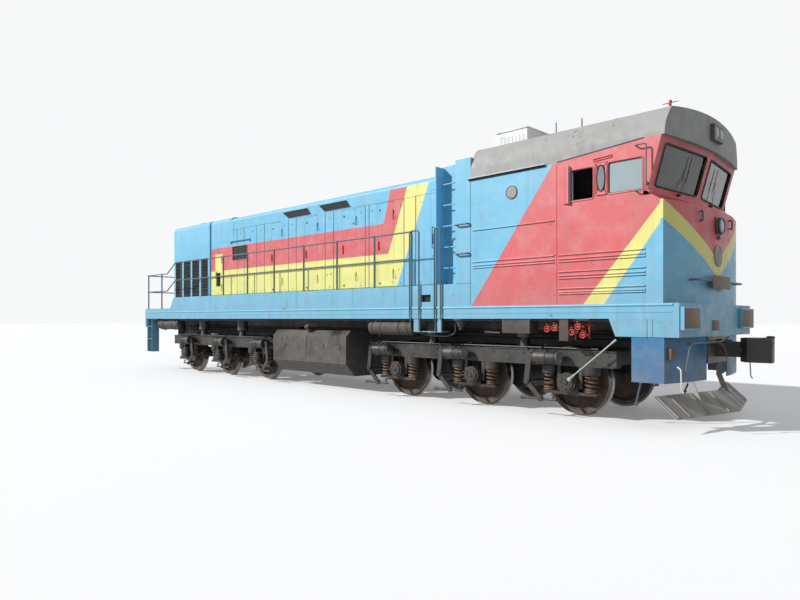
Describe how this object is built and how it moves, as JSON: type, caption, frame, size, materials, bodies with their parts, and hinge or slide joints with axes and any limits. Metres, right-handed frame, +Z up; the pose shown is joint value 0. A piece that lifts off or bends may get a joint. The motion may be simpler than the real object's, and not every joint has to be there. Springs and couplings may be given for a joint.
{
  "type": "diesel locomotive",
  "caption": "Heavy diesel locomotive with a full-width cab, a narrow engine hood with side walkways and two three-axle bogies.",
  "frame": {"origin": "centre of the locomotive on the plane of the wheel flanges' lowest points, 28 mm below the rail head", "axes": "+X forward to the cab, +Y to the left side, +Z up"},
  "size_m": [17.4, 3.11, 4.9579],
  "materials": {
    "body_paint": "satin, faded",
    "roof_paint": "matt",
    "frame_paint": "matt, dusty",
    "dark_metal": "matt",
    "plough_paint": "matt",
    "wheel_steel": "rusty with worn treads",
    "spring_steel": "rusty",
    "rail_paint": "worn",
    "glass": "clear",
    "lamp": "gloss",
    "cushion": "worn",
    "desk_paint": "satin",
    "engine_paint": "oily"
  },
  "bodies": {
    "body": {"walkways": "body_paint", "hood_sides": "body_paint", "hood_roof": "body_paint", "radiator_housing": "body_paint", "vestibule": "body_paint", "cab_sides": "body_paint", "cab_nose": "body_paint", "windscreen_frame": "body_paint", "apron": "body_paint", "cab_roof": "roof_paint", "roof_gear": "roof_paint", "fan_guard": "roof_paint", "cab_bulkhead": "roof_paint", "cab_floor": "roof_paint", "underframe": "frame_paint", "fuel_tank": "frame_paint", "underfloor_equipment": "frame_paint", "boarding_steps": "frame_paint", "radiator_grilles": "dark_metal", "hood_louvres": "dark_metal", "couplers": "dark_metal", "snow_plough": "plough_paint", "handrails": "rail_paint", "mirrors": "rail_paint", "cab_glass": "glass", "lamps": "lamp", "seats": "cushion", "control_desk": "desk_paint", "engine_block": "engine_paint"},
    "bogie_front": {"bogie_frame_front": "frame_paint", "axle_boxes_front": "frame_paint", "springs_front": "spring_steel", "brake_gear_front": "frame_paint", "traction_motors_front": "frame_paint"},
    "bogie_rear": {"bogie_frame_rear": "frame_paint", "axle_boxes_rear": "frame_paint", "springs_rear": "spring_steel", "brake_gear_rear": "frame_paint", "traction_motors_rear": "frame_paint"},
    "wheelset_1": {"wheelset_1": "wheel_steel"},
    "wheelset_2": {"wheelset_2": "wheel_steel"},
    "wheelset_3": {"wheelset_3": "wheel_steel"},
    "wheelset_4": {"wheelset_4": "wheel_steel"},
    "wheelset_5": {"wheelset_5": "wheel_steel"},
    "wheelset_6": {"wheelset_6": "wheel_steel"},
    "hood_door_left_1": {"hood_door_left_1": "body_paint"},
    "hood_door_left_2": {"hood_door_left_2": "body_paint"},
    "hood_door_left_3": {"hood_door_left_3": "body_paint"},
    "hood_door_left_4": {"hood_door_left_4": "body_paint"},
    "entrance_door_left": {"entrance_door_left": "body_paint"},
    "service_door_left": {"service_door_left": "body_paint"},
    "hood_door_right_1": {"hood_door_right_1": "body_paint"},
    "hood_door_right_2": {"hood_door_right_2": "body_paint"},
    "hood_door_right_3": {"hood_door_right_3": "body_paint"},
    "hood_door_right_4": {"hood_door_right_4": "body_paint"},
    "entrance_door_right": {"entrance_door_right": "body_paint"},
    "service_door_right": {"service_door_right": "body_paint"},
    "radiator_fan": {"radiator_fan": "dark_metal"}
  },
  "joints": [
    {"name": "bogie_pivot_front", "type": "hinge", "parent": "body", "child": "bogie_front", "pos_m": [4.3, 0, 1.048], "axis": [0, 0, 1], "range_deg": [-3, 3]},
    {"name": "bogie_pivot_rear", "type": "hinge", "parent": "body", "child": "bogie_rear", "pos_m": [-4.3, 0, 1.048], "axis": [0, 0, 1], "range_deg": [-3, 3]},
    {"name": "axle_1", "type": "hinge", "parent": "bogie_front", "child": "wheelset_1", "pos_m": [6.15, 0, 0.553], "axis": [0, 1, 0], "continuous": true},
    {"name": "axle_2", "type": "hinge", "parent": "bogie_front", "child": "wheelset_2", "pos_m": [4.3, 0, 0.553], "axis": [0, 1, 0], "continuous": true},
    {"name": "axle_3", "type": "hinge", "parent": "bogie_front", "child": "wheelset_3", "pos_m": [2.45, 0, 0.553], "axis": [0, 1, 0], "continuous": true},
    {"name": "axle_4", "type": "hinge", "parent": "bogie_rear", "child": "wheelset_4", "pos_m": [-2.45, 0, 0.553], "axis": [0, 1, 0], "continuous": true},
    {"name": "axle_5", "type": "hinge", "parent": "bogie_rear", "child": "wheelset_5", "pos_m": [-4.3, 0, 0.553], "axis": [0, 1, 0], "continuous": true},
    {"name": "axle_6", "type": "hinge", "parent": "bogie_rear", "child": "wheelset_6", "pos_m": [-6.15, 0, 0.553], "axis": [0, 1, 0], "continuous": true},
    {"name": "hood_door_left_1_hinge", "type": "hinge", "parent": "body", "child": "hood_door_left_1", "pos_m": [-1.887, 0.834, 2.528], "axis": [0, 0, -1], "range_deg": [0, 110]},
    {"name": "hood_door_left_2_hinge", "type": "hinge", "parent": "body", "child": "hood_door_left_2", "pos_m": [-0.487, 0.834, 2.528], "axis": [0, 0, -1], "range_deg": [0, 110]},
    {"name": "hood_door_left_3_hinge", "type": "hinge", "parent": "body", "child": "hood_door_left_3", "pos_m": [0.853, 0.834, 2.528], "axis": [0, 0, -1], "range_deg": [0, 110]},
    {"name": "hood_door_left_4_hinge", "type": "hinge", "parent": "body", "child": "hood_door_left_4", "pos_m": [1.993, 0.834, 2.528], "axis": [0, 0, -1], "range_deg": [0, 110]},
    {"name": "entrance_door_left_hinge", "type": "hinge", "parent": "body", "child": "entrance_door_left", "pos_m": [3.623, 0.834, 2.528], "axis": [0, 0, -1], "range_deg": [0, 90]},
    {"name": "service_door_left_hinge", "type": "hinge", "parent": "body", "child": "service_door_left", "pos_m": [-4.747, 0.834, 2.528], "axis": [0, 0, -1], "range_deg": [0, 110]},
    {"name": "hood_door_right_1_hinge", "type": "hinge", "parent": "body", "child": "hood_door_right_1", "pos_m": [-1.887, -0.834, 2.528], "axis": [0, 0, 1], "range_deg": [0, 110]},
    {"name": "hood_door_right_2_hinge", "type": "hinge", "parent": "body", "child": "hood_door_right_2", "pos_m": [-0.487, -0.834, 2.528], "axis": [0, 0, 1], "range_deg": [0, 110]},
    {"name": "hood_door_right_3_hinge", "type": "hinge", "parent": "body", "child": "hood_door_right_3", "pos_m": [0.853, -0.834, 2.528], "axis": [0, 0, 1], "range_deg": [0, 110]},
    {"name": "hood_door_right_4_hinge", "type": "hinge", "parent": "body", "child": "hood_door_right_4", "pos_m": [1.993, -0.834, 2.528], "axis": [0, 0, 1], "range_deg": [0, 110]},
    {"name": "entrance_door_right_hinge", "type": "hinge", "parent": "body", "child": "entrance_door_right", "pos_m": [3.623, -0.834, 2.528], "axis": [0, 0, 1], "range_deg": [0, 90]},
    {"name": "service_door_right_hinge", "type": "hinge", "parent": "body", "child": "service_door_right", "pos_m": [-4.747, -0.834, 2.528], "axis": [0, 0, 1], "range_deg": [0, 110]},
    {"name": "fan_axle", "type": "hinge", "parent": "body", "child": "radiator_fan", "pos_m": [-6.25, 0, 4.228], "axis": [0, 0, 1], "continuous": true}
  ]
}
